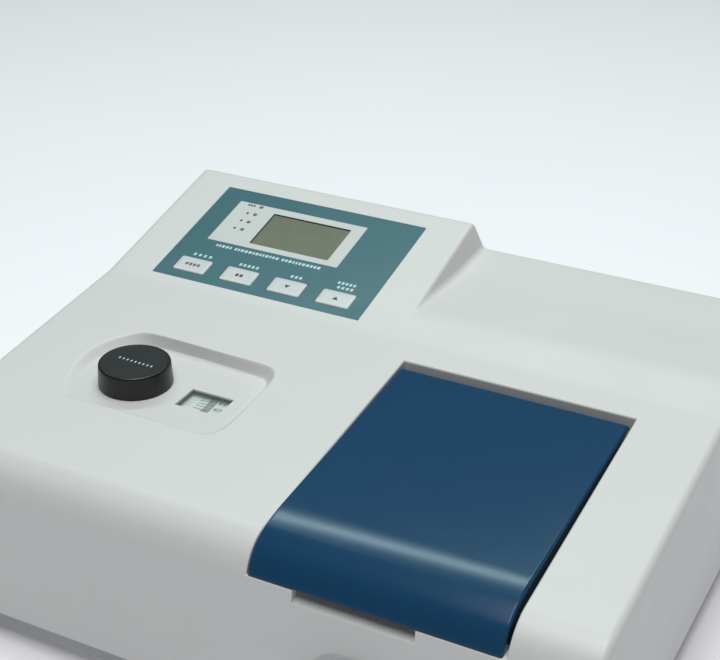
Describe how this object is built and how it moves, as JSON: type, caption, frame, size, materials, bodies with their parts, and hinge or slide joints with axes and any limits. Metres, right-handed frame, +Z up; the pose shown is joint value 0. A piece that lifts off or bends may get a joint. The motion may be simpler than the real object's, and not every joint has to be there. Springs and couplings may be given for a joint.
{
  "type": "spectrophotometer",
  "caption": "Benchtop spectrophotometer with a sloped display hood, keypad, large wavelength knob and dial window, hinged sample lid and sliding cuvette carriage.",
  "frame": {"origin": "centre of the bounding box in plan, on the bench under the feet", "axes": "+Z up, -Y toward the user (front), +X to the right seen from the front"},
  "size_m": [0.455, 0.3796, 0.1849],
  "materials": {
    "aluminium_mat": "machined",
    "base_steel": "powder-coated sheet steel",
    "black_metal": "matt black anti-glare",
    "brass_mat": "machined",
    "case_plastic": "fine-textured moulded ABS",
    "cast_black": "black-anodised casting",
    "chrome_wire": "plated wire",
    "clear_window": "clear",
    "dark_plastic": "moulded",
    "dark_steel": "blackened",
    "dial_plate": "printed disc",
    "grating_mat": "ruled replica on glass",
    "key_plastic": "moulded",
    "knob_plastic": "moulded phenolic",
    "lamp_glass": "quartz envelope",
    "lamp_house_mat": "folded sheet",
    "lcd_glass_mat": "polarised display glass",
    "led_red": "diffused epoxy",
    "lid_plastic": "semi-gloss moulded ABS",
    "optic_mirror": "front-surfaced",
    "overlay_film": "printed polyester film",
    "panel_steel": "powder-coated sheet steel",
    "pcb_green": "solder-masked glass epoxy",
    "rocker_plastic": "moulded",
    "rubber_feet": "matte",
    "steel_bright": "plated",
    "transformer_mat": "varnished laminations"
  },
  "bodies": {
    "case": {"base_tray": "base_steel", "feet": "rubber_feet", "foot_screws": "steel_bright", "cover_screws": "steel_bright", "top_cover": "case_plastic", "rear_panel": "panel_steel", "control_overlay": "overlay_film", "lcd_glass": "lcd_glass_mat", "lcd_module": "dark_plastic", "mode_leds": "led_red", "key_switches": "dark_plastic", "display_pcb": "pcb_green", "shaft_bushes": "brass_mat", "dial_window": "clear_window", "drive_plate": "aluminium_mat", "drive_pillars": "steel_bright", "mono_box": "cast_black", "mono_cover": "cast_black", "mono_mirrors": "optic_mirror", "entrance_slit": "black_metal", "exit_slit": "black_metal", "condenser_tube": "black_metal", "sample_tray": "black_metal", "tray_windows": "clear_window", "guide_rods": "steel_bright", "rod_bush": "aluminium_mat", "carriage_detent": "steel_bright", "hinge_brackets": "black_metal", "hinge_pins": "steel_bright", "lamp_house": "lamp_house_mat", "halogen_lamp": "lamp_glass", "deuterium_lamp": "lamp_glass", "detector_housing": "cast_black", "main_pcb": "pcb_green", "transformer": "transformer_mat", "fan_frame": "dark_plastic", "fan_guard": "chrome_wire", "mains_inlet": "dark_plastic", "power_switch": "dark_plastic", "fuse_serial": "dark_plastic"},
    "lid": {"sample_lid": "lid_plastic", "lid_baffle": "black_metal"},
    "knob": {"wavelength_knob": "knob_plastic", "knob_grub_screw": "dark_steel", "knob_shaft": "steel_bright"},
    "layshaft_gear": {"layshaft": "brass_mat"},
    "dial": {"dial_disc": "dial_plate"},
    "grating_turntable": {"sector_arm": "brass_mat", "grating_table": "aluminium_mat", "grating": "grating_mat"},
    "carriage": {"cuvette_carriage": "black_metal", "pull_rod": "steel_bright", "pull_rod_knob": "knob_plastic"},
    "key_mode": {"mode_key": "key_plastic"},
    "key_print": {"print_key": "key_plastic"},
    "key_down": {"down_key": "key_plastic"},
    "key_up": {"up_key": "key_plastic"},
    "rocker": {"switch_rocker": "rocker_plastic"},
    "fan": {"fan_rotor": "dark_plastic"},
    "source_mirror": {"lamp_mirror": "optic_mirror"}
  },
  "joints": [
    {"name": "lid_hinge", "type": "hinge", "parent": "case", "child": "lid", "pos_m": [0.098, 0.0219, 0.14], "axis": [-1, 0, 0], "range_deg": [0, 100]},
    {"name": "knob_turn", "type": "hinge", "parent": "case", "child": "knob", "pos_m": [-0.1297, -0.053, 0.15], "axis": [0, 0, 1], "range_deg": [-1458, 1458]},
    {"name": "layshaft_turn", "type": "hinge", "parent": "case", "child": "layshaft_gear", "pos_m": [-0.1297, -0.077, 0.119], "axis": [0, 0, 1], "range_deg": [-486, 486]},
    {"name": "dial_turn", "type": "hinge", "parent": "case", "child": "dial", "pos_m": [-0.1297, -0.053, 0.13], "axis": [0, 0, 1], "range_deg": [-162, 162]},
    {"name": "grating_turn", "type": "hinge", "parent": "case", "child": "grating_turntable", "pos_m": [-0.0747, 0.00232, 0.11], "axis": [0, 0, 1], "range_deg": [-13.5, 13.5]},
    {"name": "carriage_pull", "type": "slide", "parent": "case", "child": "carriage", "axis": [0, -1, 0], "range_m": [0, 0.048]},
    {"name": "mode_press", "type": "slide", "parent": "case", "child": "key_mode", "axis": [0, 0.2246, -0.9744], "range_m": [0, 0.0012], "stiffness_N_per_m": 700, "springref_m": -0.0008},
    {"name": "print_press", "type": "slide", "parent": "case", "child": "key_print", "axis": [0, 0.2246, -0.9744], "range_m": [0, 0.0012], "stiffness_N_per_m": 700, "springref_m": -0.0008},
    {"name": "down_press", "type": "slide", "parent": "case", "child": "key_down", "axis": [0, 0.2246, -0.9744], "range_m": [0, 0.0012], "stiffness_N_per_m": 700, "springref_m": -0.0008},
    {"name": "up_press", "type": "slide", "parent": "case", "child": "key_up", "axis": [0, 0.2246, -0.9744], "range_m": [0, 0.0012], "stiffness_N_per_m": 700, "springref_m": -0.0008},
    {"name": "rocker_tip", "type": "hinge", "parent": "case", "child": "rocker", "pos_m": [-0.104, 0.1837, 0.075], "axis": [1, 0, 0], "range_deg": [0, 14]},
    {"name": "fan_spin", "type": "hinge", "parent": "case", "child": "fan", "pos_m": [0.14, 0.1702, 0.088], "axis": [0, 1, 0], "continuous": true},
    {"name": "mirror_swing", "type": "hinge", "parent": "case", "child": "source_mirror", "pos_m": [0.105, 0.0572, 0.06], "axis": [0, 0, 1], "range_deg": [0, 45]}
  ],
  "couplings": [
    {"joint": "layshaft_turn", "follows": "knob_turn", "ratio": -0.33333},
    {"joint": "dial_turn", "follows": "knob_turn", "ratio": 0.11111},
    {"joint": "grating_turn", "follows": "knob_turn", "ratio": -0.0092593}
  ]
}
